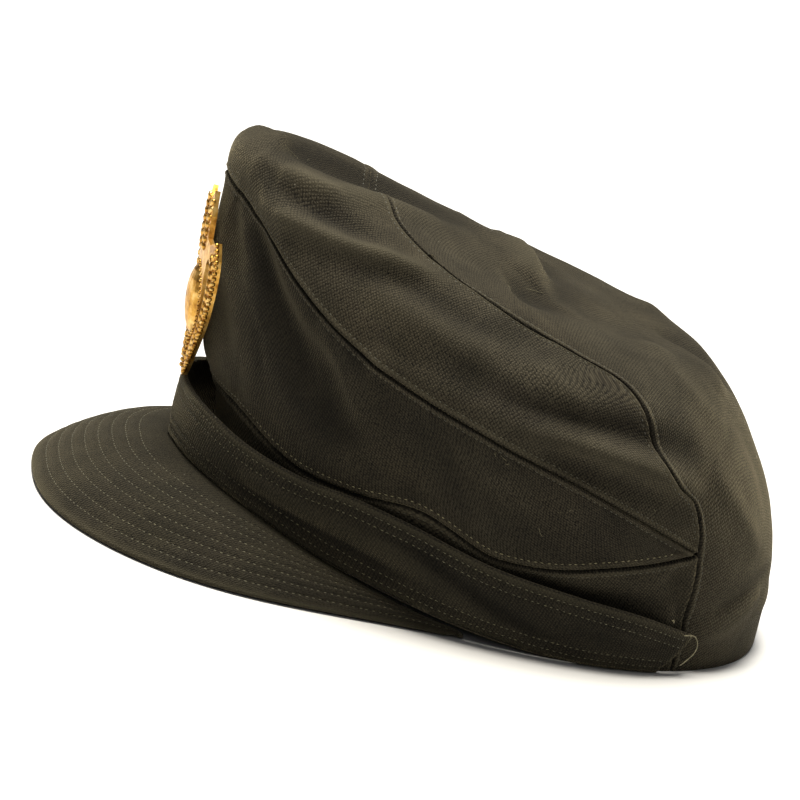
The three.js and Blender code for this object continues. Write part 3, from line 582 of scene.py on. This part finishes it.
def milled_wool(name, dark, light, rubbed):
    """Wool serge, woven as a steep twill and lightly milled: a matt cloth with fine slanting
    ribs, each a chain of yarn steps, a haze of loose fibre that catches light at the edges,
    a mottled dye, and a few specks of lint. dark and light are the cloth between and on its
    ribs, rubbed where wear has smoothed them."""
    rib = 0.95    # really about 0.7 mm, drawn coarser so that the ribs still show
    material, tree, shader = surface(name)
    cloth = add(tree, "UVMap", uv_map="cloth_mm").outputs["UV"]
    period = 2 * math.pi / 20      # length of one band of a wave texture at scale 1
    slant = add(tree, "Mapping", {"Vector": cloth}, Rotation=(0, 0, math.radians(-56)))
    steps = add(tree, "Mapping", {"Vector": cloth}, Rotation=(0, 0, math.radians(22)))
    ribs = add(tree, "TexWave", {"Vector": slant.outputs[0]}, Scale=period / rib, Distortion=3.3,
               Detail=2.0, Detail_Scale=2.6)
    yarn = add(tree, "TexWave", {"Vector": steps.outputs[0]}, Scale=period / (rib * 1.15),
               Distortion=3.4, Detail=2.0, Detail_Scale=2.6)
    weave = add(tree, "Math", {0: ribs.outputs["Fac"], 1: yarn.outputs["Fac"]}, operation="MULTIPLY")
    fibre = add(tree, "TexNoise", {"Vector": cloth}, Scale=1.1, Detail=3.0, Roughness=0.75)
    height = add(tree, "Math", {0: fibre.outputs["Fac"], 2: weave.outputs[0]},
                 operation="MULTIPLY_ADD")
    height.inputs[1].default_value = 1.3
    mottle = add(tree, "TexNoise", {"Vector": cloth}, Scale=0.06, Detail=4.0, Roughness=0.6)
    patch = add(tree, "TexNoise", {"Vector": cloth}, Scale=0.016, Detail=2.0)
    tone = ramp(tree, height.outputs[0], (0.5, dark), (1.0, light))
    shade = ramp(tree, mottle.outputs["Fac"], (0.3, "#bdbdbd"), (0.7, "#ffffff"))
    toned = blend(tree, "MULTIPLY", 1.0, tone, shade)
    warm = blend(tree, "MULTIPLY", patch.outputs["Fac"], toned, linear("#f6ead2"))
    wear_and_shade = add(tree, "Attribute", attribute_name="wear_and_shade")
    # Painted shade: where the attribute is low, in the front and back panels, the dents of the folds
    # and the strap's grooves, the colour is multiplied darker.
    painted_shade = add(tree, "MapRange", {0: wear_and_shade.outputs["Fac"]}, From_Min=0.05, From_Max=0.5,
                  To_Min=0.42, To_Max=1.0)
    worn = add(tree, "MapRange", {0: wear_and_shade.outputs["Fac"]}, From_Min=0.45, From_Max=1.0, To_Max=0.5)
    shaded = blend(tree, "MULTIPLY", 1.0, warm, painted_shade.outputs[0])
    threadbare = blend(tree, "MIX", worn.outputs[0], shaded, linear(rubbed))
    lint = add(tree, "TexVoronoi", {"Vector": cloth}, Scale=0.055)
    speck = add(tree, "MapRange", {0: lint.outputs["Distance"]}, From_Min=0.014, From_Max=0.022,
                To_Min=0.7, To_Max=0.0)
    dusty = blend(tree, "MIX", speck.outputs[0], threadbare, linear("#b5b09e"))
    tree.links.new(dusty, shader.inputs["Base Color"])
    bump = add(tree, "Bump", {"Height": height.outputs[0]}, Strength=0.7, Distance=0.0003)
    tree.links.new(bump.outputs[0], shader.inputs["Normal"])
    shader.inputs["Roughness"].default_value = 0.95
    shader.inputs["Specular IOR Level"].default_value = 0.15
    shader.inputs["Sheen Weight"].default_value = 0.35
    shader.inputs["Sheen Roughness"].default_value = 0.35
    shader.inputs["Sheen Tint"].default_value = linear("#b3a682")
    return material


def cotton_thread(name, colour):
    """Mercerised cotton sewing thread: smooth, with a faint twist that shows as light and dark."""
    material, tree, shader = surface(name)
    place = add(tree, "TexCoord").outputs["Object"]
    twist = add(tree, "TexNoise", {"Vector": place}, Scale=900.0, Detail=2.0)
    tone = ramp(tree, twist.outputs["Fac"], (0.3, colour[0]), (0.7, colour[1]))
    tree.links.new(tone, shader.inputs["Base Color"])
    shader.inputs["Roughness"].default_value = 0.6
    shader.inputs["Sheen Weight"].default_value = 0.2
    return material


def gilt_brass(name):
    """Die-struck brass, fire gilt and burnished: bright yellow metal, a little softer and
    browner where polish has not reached."""
    material, tree, shader = surface(name)
    place = add(tree, "TexCoord").outputs["Object"]
    wear = add(tree, "TexNoise", {"Vector": place}, Scale=260.0, Detail=4.0, Roughness=0.6)
    tone = ramp(tree, wear.outputs["Fac"], (0.32, "#8d5f24"), (0.5, "#cc9b48"), (0.7, "#e6c47e"))
    tree.links.new(tone, shader.inputs["Base Color"])
    grain = add(tree, "TexNoise", {"Vector": place}, Scale=1400.0, Detail=2.0)
    bump = add(tree, "Bump", {"Height": grain.outputs["Fac"]}, Strength=0.25, Distance=0.0001)
    tree.links.new(bump.outputs[0], shader.inputs["Normal"])
    shader.inputs["Metallic"].default_value = 1.0
    shader.inputs["Roughness"].default_value = 0.4
    return material


crown_wool = milled_wool("Milled wool serge, crown", "#070604", "#433f34", "#4b4637")
peak_wool = milled_wool("Milled wool serge, peak", "#070604", "#37342a", "#443f30")
strap_wool = milled_wool("Milled wool serge, strap", "#060503", "#2e2b22", "#3a3629")
khaki_thread = cotton_thread("Cotton thread, khaki", ("#5b5439", "#7e7653"))
olive_khaki_thread = cotton_thread("Cotton thread, dull khaki", ("#433f29", "#605b3d"))
olive_thread = cotton_thread("Cotton thread, olive", ("#2a281a", "#48442c"))
gilt = gilt_brass("Gilt brass, burnished")

# ------------------------------------------------------------------ crown and band
def between(low, high):
    """Places of a panel that spans from one line to another."""
    def place(u, v):
        side = (2 * u - 1) * (1 - END_TRIM)
        return mix(low(side), high(side), v[..., None])
    return place


band = cloth_panel("band", between(hem_line, band_seam), 300, 26, ("high",), 3.1)
front = cloth_panel("crown_front_panel", between(band_seam, top_seam), 300, 60, ("low", "high"), 7.7)
top = cloth_panel("crown_top_panel", between(top_seam, back_edge), 300, 64, ("low", "high"), 12.3)
back = cloth_panel("crown_back_panel", back_place, 130, 170, ("low", "left", "right"), 18.9)

crown_rows = ((front, "high"), (top, "low"), (top, "high"), (back, "low"), (back, "left"),
              (back, "right"))
stitching("crown_stitching", olive_thread, "crown_cloth",
          [offset_line(sheet, edge, STITCH_OFF) for sheet, edge in crown_rows])
stitching("band_seam_stitching", khaki_thread, "band_cloth", [offset_line(front, "low", STITCH_OFF)])
stitching("band_stitching", olive_thread, "band_cloth", [offset_line(band, "high", STITCH_OFF)])
stitching("loose_fibres", khaki_thread, "crown_cloth", loose_hairs((top, back, front), 26, 5),
          pitch=0.35, long=0.8, wide=0.13)

# ------------------------------------------------------------------ peak
PEAK = {"root_wall": 3.0, "edge_wall": 2.0, "tip_y": -129.8, "spread": 95, "square": 2.4,
        "bulge": 9.5, "lift": 0.65, "drop": 2.1, "corner": 82, "sweep": 88, "tuck": 10,
        "flank": 0.7, "corner_rise": 0.5, "root_clear": 0.2}
PEAK_ROWS_APART = 4.8      # rows of stitching on the peak, from its edge inwards
PEAK_FIRST_ROW = 5.0
PEAK_STITCH_ROWS = 8


def peak_middle(turn, outward):
    """Middle of the peak's thickness: turn runs round it, outward from the band to its edge."""
    s, c = np.sin(turn), np.abs(np.cos(turn))
    root = bare_crown(plan(PEAK["corner"] * turn / (math.pi / 2), 0 * turn))
    root[..., 2] = np.maximum(root[..., 2] - PEAK["drop"], PEAK["edge_wall"] / 2 + PEAK["root_clear"])
    corner = bare_crown(plan(PEAK["corner"], 0))
    reach = np.abs(s) ** (2 / PEAK["square"]) * PEAK["spread"]
    tuck = (PEAK["spread"] - corner[0]) * np.abs(s) ** PEAK["tuck"]
    edge_y = corner[1] + (PEAK["tip_y"] - corner[1]) * c ** (2 / PEAK["square"])
    edge_z = PEAK["lift"] + PEAK["corner_rise"] * s * s
    edge = np.stack([np.sign(s) * (reach - tuck), edge_y, edge_z], -1)
    middle = mix(root, edge, outward[..., None])
    middle[..., 2] += PEAK["bulge"] * 4 * outward * (1 - outward) * c ** PEAK["flank"]
    return middle


def peak_sheet(turn, outward, lean):
    """Point and normal of the peak's skin: lean is 90 on top, -90 under, between round the edge."""
    step = 0.01
    middle = peak_middle(turn, outward)
    around = peak_middle(turn + step, outward) - peak_middle(turn - step, outward)
    out = unit(peak_middle(turn, outward + step) - peak_middle(turn, outward - step))
    normal = unit(np.cross(out, around))
    normal = normal * np.sign(normal[..., [2]])
    thin = np.maximum(outward, np.sin(turn) ** 4)
    half = mix(PEAK["root_wall"], PEAK["edge_wall"], thin)[..., None] / 2
    lean = np.radians(lean)[..., None]
    skin = normal * np.sin(lean) + out * np.cos(lean)
    return middle + skin * half, skin


def make_peak():
    """The peak as one closed sheet: over its top, round its edge, back under it and closed at
    its root. Gives the top for stitching and a tree for what rests on it."""
    over, rim, under, root = 60, 6, 22, 2    # rows of faces in each stretch
    columns, rows = 240, over + rim + under + root
    bm, u, v = flat_grid(columns, rows)
    row = np.rint(v * rows)
    turn = np.radians(mix(-PEAK["sweep"], PEAK["sweep"], u))
    edge = 0.985
    outward = np.where(row <= over, edge * (1 - np.clip(1 - row / over, 0, 1) ** 1.25),
                       np.where(row <= over + rim, edge, edge * (1 - (row - over - rim) / under)))
    outward = np.clip(outward, 0, edge)
    lean = np.clip(90 - 180 * (row - over) / rim, -90, 90)
    closing = np.clip((row - over - rim - under) / root, 0, 1)
    lean = np.where(closing > 0, -90 + 180 * closing, lean)
    point, skin = peak_sheet(turn, outward, lean)
    straight = (closing > 0) & (closing < 1)
    ends = [peak_sheet(turn, outward * 0, side + 0 * lean)[0] for side in (90, -90)]
    point = np.where(straight[..., None], (ends[0] + ends[1]) / 2, point)
    along, across = run_length(point, 0), run_length(point, 1)
    across = across - across[:, [columns // 2]]
    inward = along[[over]] - along
    on_top = row <= over
    relief = 0.25 * slack(point, 22, 4.2) + 0.1 * slack(point, 7, 2.2)
    wear_and_shade = 0.45 + 0.45 * bell(inward, 0, 1.6)
    for k in range(PEAK_STITCH_ROWS):
        away = inward - PEAK_FIRST_ROW - k * PEAK_ROWS_APART
        relief = relief - 0.34 * bell(away, 0, 0.75)
        relief = relief + 0.05 * np.sin(across / 1.2 + k) * bell(away, 0, 1.5)
    relief = np.where(on_top, relief * ease(inward, 0, 3) * ease(along, 0, 3), 0)
    point = point + skin * relief[..., None]
    point[..., 2] = np.maximum(point[..., 2], 0)
    place_verts(bm.verts, point)
    weave_map(bm, across, along)
    wear_and_shade_map(bm, np.clip(wear_and_shade, 0, 1))
    bmesh.ops.remove_doubles(bm, verts=bm.verts[:], dist=1e-6)
    bmesh.ops.holes_fill(bm, edges=[e for e in bm.edges if e.is_boundary], sides=0)
    bmesh.ops.recalc_face_normals(bm, faces=bm.faces[:])
    tree = BVHTree.FromBMesh(bm)
    make_piece("peak_cloth", bm, peak_wool, "peak_cloth", "peak")
    sheet = {"point": point[:over + 1], "normal": skin[:over + 1], "along": along[:over + 1],
             "across": across[:over + 1]}
    return sheet, tree


peak, peak_tree = make_peak()
stitching("peak_stitching", olive_khaki_thread, "peak_cloth",
          [offset_line(peak, "high", PEAK_FIRST_ROW + k * PEAK_ROWS_APART)
           for k in range(PEAK_STITCH_ROWS)])

# ------------------------------------------------------------------ strap
STRAP = table(
    "angle low_off high_level high_off",
    (0, 17.5, 0.153, 11.4), (16, 14, 0.148, 10.7), (30, 9.6, 0.128, 8), (45, 5.4, 0.124, 5.6),
    (55, 3.8, 0.132, 4.6), (66, 3, 0.13, 4.2), (82, 2.7, 0.112, 4), (100, 2.5, 0.104, 4.2),
    (114, 2.5, 0.094, 4.2), (122, 2.5, 0.08, 3.4), (127, 2.5, 0.07, 2.6),
)
STRAP_WALL = 2.0
STRAP_ENDS = (119.5, 127)
STRAP_BELLY = 0.9
STRAP_SEAT = 0.4
STRAP_FOOT_LEVEL = 0.006
STRAP_HEM_OFF = 2.5
STRAP_WIDTH = 22.0
STRAP_LIFT = 0.1           # least height over the surface that the cap rests on
STRAP_STITCH_ROWS = (2.0, 5.2)    # distances of the rows from each edge


def peak_top_at(x, y):
    """Height of the peak's top face under a point, or 0 beside the peak."""
    hit = peak_tree.ray_cast(Vector((x * MM, y * MM, 0.1)), Vector((0, 0, -1)))[0]
    return hit.z / MM if hit else 0.0


def strap_low(angle, off):
    """The strap's lower edge, which rests on the peak in front."""
    place = plan(angle, STRAP_FOOT_LEVEL + 0 * angle)
    normal = crown_normal(place)
    low = bare_crown(place) + normal * off[:, None]
    for k in range(len(angle)):
        for inward in (0, STRAP_WALL / 2, STRAP_WALL):
            x, y = low[k, :2] - normal[k, :2] * inward
            low[k, 2] = max(low[k, 2], peak_top_at(x, y) + STRAP_SEAT)
    return low


def strap_skin(angle, up, inward):
    """Point of the strap's face. angle is a grid whose rows follow up."""
    at = {c: smooth(STRAP, "angle", c, np.abs(angle)) for c in STRAP}
    high_place = plan(angle, at["high_level"])
    normal = crown_normal(high_place)
    level = unit(normal * np.array([1.0, 1.0, 0.0]))
    fine = np.linspace(-STRAP_ENDS[1], STRAP_ENDS[1], 255)
    low_line = strap_low(fine, smooth(STRAP, "angle", "low_off", np.abs(fine)))
    low = np.stack([np.interp(angle, fine, low_line[:, c]) for c in range(3)], -1)
    point = mix(low, bare_crown(high_place) + normal * at["high_off"][..., None], up[..., None])
    beside = plan(angle, mix(STRAP_FOOT_LEVEL, at["high_level"], up))
    off = mix(STRAP_HEM_OFF, at["high_off"], up)[..., None]
    alongside = bare_crown(beside) + crown_normal(beside) * off
    snug = (ease(np.abs(angle), 36, 56) * ease(up, 0, 0.3))[..., None]
    point = mix(point, alongside, snug)
    point = point + level * (STRAP_BELLY * 4 * up * (1 - up) - inward)[..., None]
    return point, level


# Lengthwise creases in the strap: angle and share of its width at three places, width, depth.
STRAP_CREASES = table(
    "angle0 up0 angle1 up1 angle2 up2 width height",
    (26, 0.3, 48, 0.34, 68, 0.3, 0.09, -1.3),
    (30, 0.52, 50, 0.56, 74, 0.46, 0.13, 0.7),
    (66, 0.86, 80, 0.6, 96, 0.25, 0.09, -1.2),
    (60, 0.66, 76, 0.42, 92, 0.14, 0.1, 0.6),
    (98, 0.62, 108, 0.55, 118, 0.5, 0.12, -0.45),
    (-70, 0.3, -48, 0.34, -26, 0.3, 0.09, -0.8),
    (-100, 0.3, -82, 0.6, -66, 0.86, 0.09, -0.7),
)


def strap_crease(angle, up):
    """Height of the strap's creases together."""
    total = np.zeros_like(up)
    scale = 60.0    # degrees along the strap that count as much as its whole width
    steps = 24
    for k in range(len(STRAP_CREASES["width"])):
        row = {c: STRAP_CREASES[c][k] for c in STRAP_CREASES}
        line = np.array([(row[f"angle{n}"] / scale, row[f"up{n}"]) for n in range(3)])
        dense = spline(line, np.linspace(0, 1, steps + 1))
        near, share = np.full(up.shape, np.inf), np.zeros(up.shape)
        for i, (a, b) in enumerate(dense):
            away = np.hypot((angle / scale - a), up - b)
            share = np.where(away < near, i / steps, share)
            near = np.minimum(near, away)
        total += row["height"] * (1 - np.abs(2 * share - 1) ** 3) * bell(near, 0, row["width"])
    return total


def make_strap():
    """The strap as one closed sheet: up its outer face, over, down its inner face and under.
    Gives the outer face for stitching."""
    face, rim = 30, 5    # rows of faces on each side and over each edge
    columns, rows = 300, 2 * face + 2 * rim
    bm, u, v = flat_grid(columns, rows)
    row = np.rint(v * rows)
    half = STRAP_WALL / 2
    up = np.where(row <= face, row / face, np.where(row <= face + rim, 1.0, 0.0))
    up = np.where((row > face + rim) & (row <= 2 * face + rim), 1 - (row - face - rim) / face, up)
    turn = np.where(row <= face, 0.0, np.clip((row - face) / rim, 0, 1) * np.pi)
    turn = turn + np.where(row > 2 * face + rim, (row - 2 * face - rim) / rim * np.pi, 0)
    outer_side, upward = np.cos(turn), np.sin(turn)
    trimmed = mix(half / STRAP_WIDTH, 1 - half / STRAP_WIDTH, up)
    side = 2 * u - 1
    angle = side * mix(STRAP_ENDS[0], STRAP_ENDS[1], trimmed)
    middle, level = strap_skin(angle, trimmed, half + 0 * u)
    rise = unit(strap_skin(angle, trimmed + 0.01, half + 0 * u)[0] - middle)
    skin = unit(level * outer_side[..., None] + rise * upward[..., None])
    point = middle + skin * half
    along, across = run_length(point, 0), run_length(point, 1)
    across = across - across[:, [columns // 2]]
    relief = 0.3 * slack(point, 20, 6.6) + 0.1 * slack(point, 7, 5.5)
    crease = strap_crease(angle, up)
    out_face = row <= face
    edge_low, edge_high = along, along[[face]] - along
    for edge in (edge_low, edge_high):
        for off in STRAP_STITCH_ROWS:
            relief = relief - 0.26 * bell(edge, off, 0.6) * out_face
    relief = relief + crease
    relief = relief * np.where(out_face, ease(np.minimum(edge_low, edge_high), -0.2, 1.6), 0.0)
    inner = (row > face + rim) & (row <= 2 * face + rim)
    relief = relief - np.where(inner, crease * np.sin(np.pi * up), 0)
    point = point + skin * relief[..., None]
    point[..., 2] = np.maximum(point[..., 2], STRAP_LIFT)
    # Wear along the edges and on the creases' ridges; painted shade in their grooves.
    wear_and_shade = 0.45 + 0.5 * bell(edge_high, 0, 1.4) + 0.4 * bell(edge_low, 0, 1.2) + 0.25 * crease
    place_verts(bm.verts, point)
    weave_map(bm, across, along)
    # the inner face and the rims are drawn a little darker than the outer face
    wear_and_shade_map(bm, np.clip(np.where(out_face, wear_and_shade, 0.4), 0, 1))
    bmesh.ops.remove_doubles(bm, verts=bm.verts[:], dist=1e-6)
    bmesh.ops.holes_fill(bm, edges=[e for e in bm.edges if e.is_boundary], sides=0)
    bmesh.ops.recalc_face_normals(bm, faces=bm.faces[:])
    make_piece("strap_cloth", bm, strap_wool, "strap_cloth", "strap")
    keep = slice(0, face + 1)
    return {"point": point[keep], "normal": skin[keep], "along": along[keep], "across": across[keep]}


strap = make_strap()
stitching("strap_stitching", olive_khaki_thread, "strap_cloth",
          [offset_line(strap, edge, off) for off in STRAP_STITCH_ROWS for edge in ("low", "high")])

# Loose ends at the near end of the strap: a slack loop of thread past its corner and a knot. Each
# place is along the strap, up its width and out from it, from the strap's top corner.
TAIL_LOOP = np.array([(-5, -0.3, 0.3), (-0.3, 0.8, 0.7), (3.6, -2, 1.2), (5.2, -6, 1.2),
                      (4.5, -12, 0.4)])
TAIL_KNOT = np.array([(-13.6, 3.2, -1.6), (-12.9, 3.7, -1.3), (-12.4, 3.2, -1.2), (-13, 3, -0.8)])


def tail_line(places, steps):
    """A loose thread's line with its outward direction, in steps through its places."""
    corner = strap["point"][-1, -1]
    ahead = unit(corner - strap["point"][-1, -6])
    rise = unit(corner - strap["point"][-6, -1])
    out = unit(np.cross(rise, ahead))
    out = out * np.sign(out @ np.array([1.0, 0.2, 0.0]))
    dense = spline(places, np.linspace(0, 1, steps))
    return np.hstack([corner + dense @ np.array([ahead, rise, out]), np.tile(out, (steps, 1))])


stitching("strap_loose_thread", khaki_thread, "strap_cloth",
          [tail_line(TAIL_LOOP, 60), tail_line(TAIL_KNOT, 20)], pitch=0.45, long=0.95, wide=0.42)

# ------------------------------------------------------------------ badge
# The badge's front face, as in the solid, and what is struck on it: leaves in pairs along two
# branches and a spray, and beads round the boss, the branches and the stem.
BADGE = {"foot_z": 45.8, "height": 66, "front_y": -91.15, "wrap": 0.0054, "lean": 2.5}
BRANCH = np.array([(5, 5.5), (10.5, 14), (15.2, 22.5), (18.6, 32), (20, 41), (18.6, 48)])
BRANCH_EDGE = np.array([(3.4, 1.2), (10, 10.5), (17.5, 23), (21.8, 36), (22.6, 46), (20, 52.5)])
SPRAY = np.array([(3.4, 45), (4.6, 53), (4.8, 58), (3.9, 64)])
STEM = np.array([(0.1, 2), (0.6, 8), (2.6, 13), (6, 17)])
BOSS = {"up": 27, "half_width": 9, "half_height": 12.5}


def badge_spot(place):
    """Points and outward direction on the badge's front face for places across and up it."""
    across, up = place[:, 0], place[:, 1]
    y = BADGE["front_y"] + BADGE["lean"] * np.cos(math.pi * up / BADGE["height"])
    point = np.stack([across, y + BADGE["wrap"] * across ** 2, BADGE["foot_z"] + up], -1)
    out = unit(np.stack([2 * BADGE["wrap"] * across, -np.ones_like(up), 0 * up], -1))
    return point, out


def struck(line, pitch, long, wide, turn=0.0, off=0.0, thick=0.9):
    """Axes and centres of lozenges along a line on the badge, turned and moved off the line."""
    dense = spline(line, np.linspace(0, 1, 200))
    run = run_length(dense)
    at = np.arange(pitch / 2, run[-1], pitch)
    spot = np.stack([np.interp(at, run, dense[:, c]) for c in (0, 1)], -1)
    ahead = unit(np.stack([np.interp(at + 0.2, run, dense[:, c]) for c in (0, 1)], -1) - spot)
    beside = ahead @ np.array([[0.0, 1.0], [-1.0, 0.0]])
    point, out = badge_spot(spot + beside * off)
    along = ahead * math.cos(turn) + beside * math.sin(turn)
    lie = unit(np.stack([along[:, 0], 0 * at, along[:, 1]], -1))
    side = np.cross(out, lie)
    return np.stack([lie * long / 2, side * wide / 2, out * thick], 1), point


def make_badge_relief():
    """Beads round the boss, pairs of leaves up each branch and the spray, beads down the stem."""
    turn = np.linspace(0, 2 * math.pi, 60)
    boss_rim = np.stack([(BOSS["half_width"] + 0.5) * np.cos(turn),
                         BOSS["up"] + (BOSS["half_height"] + 0.5) * np.sin(turn)], -1)
    parts = [struck(boss_rim, 2.0, 1.8, 1.5, thick=0.7)]
    for mirror in (1, -1):
        flip = np.array([mirror, 1.0])
        for side in (1, -1):
            parts.append(struck(BRANCH * flip, 2.9, 4.0, 1.9, side * 0.6, side * 1.2, 1.0))
            parts.append(struck(SPRAY * flip, 2.6, 3.6, 1.6, side * 0.6, side * 1.0, 1.0))
        parts.append(struck(BRANCH_EDGE * flip, 1.9, 1.8, 1.8))
        parts.append(struck(STEM * flip, 1.9, 1.8, 1.8, thick=1.0))
    bm = bmesh.new()
    copies(bm, np.concatenate([p[0] for p in parts]), np.concatenate([p[1] for p in parts]))
    make_piece("badge_relief", bm, gilt, "gilt")


make_badge_relief()
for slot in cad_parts["badge"].material_slots:
    slot.material = gilt

# ------------------------------------------------------------------ floor, light and camera
def make_floor():
    """A plain pale sheet that the cap rests on."""
    bm = bmesh.new()
    bmesh.ops.create_grid(bm, x_segments=1, y_segments=1, size=12)
    mesh = bpy.data.meshes.new("floor")
    bm.to_mesh(mesh)
    bm.free()
    material, _, shader = surface("Matt white card")
    shader.inputs["Base Color"].default_value = linear("#cbcac7")
    shader.inputs["Roughness"].default_value = 0.9
    mesh.materials.append(material)
    floor = bpy.data.objects.new("floor", mesh)
    bpy.context.collection.objects.link(floor)


def soft_light(name, place, size, power, colour):
    """A round soft light of a width in metres, turned to the middle of the cap."""
    lamp = bpy.data.lights.new(name, "AREA")
    lamp.shape, lamp.size, lamp.energy, lamp.color = "DISK", size, power, linear(colour)[:3]
    obj = bpy.data.objects.new(name, lamp)
    obj.location = place
    obj.rotation_euler = (Vector((0, 0, 0.06)) - Vector(place)).to_track_quat("-Z", "Y").to_euler()
    bpy.context.collection.objects.link(obj)


def place_camera():
    """A long lens at the wearer's left, a little above, and tilted."""
    azimuth, elevation, roll = math.radians(11.67), math.radians(15.9), math.radians(15.63)
    distance, target = 1.3905, Vector((0, -0.0128, 0.0531))
    back_way = Vector((math.cos(azimuth) * math.cos(elevation),
                       -math.sin(azimuth) * math.cos(elevation), math.sin(elevation)))
    right = Vector((0, 0, 1)).cross(back_way).normalized()
    upward = back_way.cross(right)
    turned = right * math.cos(roll) + upward * math.sin(roll)
    raised = upward * math.cos(roll) - right * math.sin(roll)
    data = bpy.data.cameras.new("camera")
    data.sensor_width, data.lens = 36.0, 182.25
    data.clip_start, data.clip_end = 0.05, 50
    obj = bpy.data.objects.new("camera", data)
    obj.matrix_world = Matrix((
        (turned.x, raised.x, back_way.x, target.x + back_way.x * distance),
        (turned.y, raised.y, back_way.y, target.y + back_way.y * distance),
        (turned.z, raised.z, back_way.z, target.z + back_way.z * distance),
        (0, 0, 0, 1)))
    bpy.context.collection.objects.link(obj)
    bpy.context.scene.camera = obj


make_floor()
soft_light("key", (0.1, -0.45, 2.9), 1.2, 138, "#fffaf0")
soft_light("side", (2.2, -0.8, 1.6), 1.2, 4, "#f8f9ff")
soft_light("above", (-0.8, -0.1, 3.0), 2.0, 112, "#ffffff")
world = bpy.data.worlds.new("studio")
world.use_nodes = True
sky = world.node_tree.nodes["Background"]
sky.inputs["Color"].default_value = linear("#f2f2f2")
sky.inputs["Strength"].default_value = 0.17
bpy.context.scene.world = world
bpy.context.scene.view_settings.view_transform = "Standard"
place_camera()
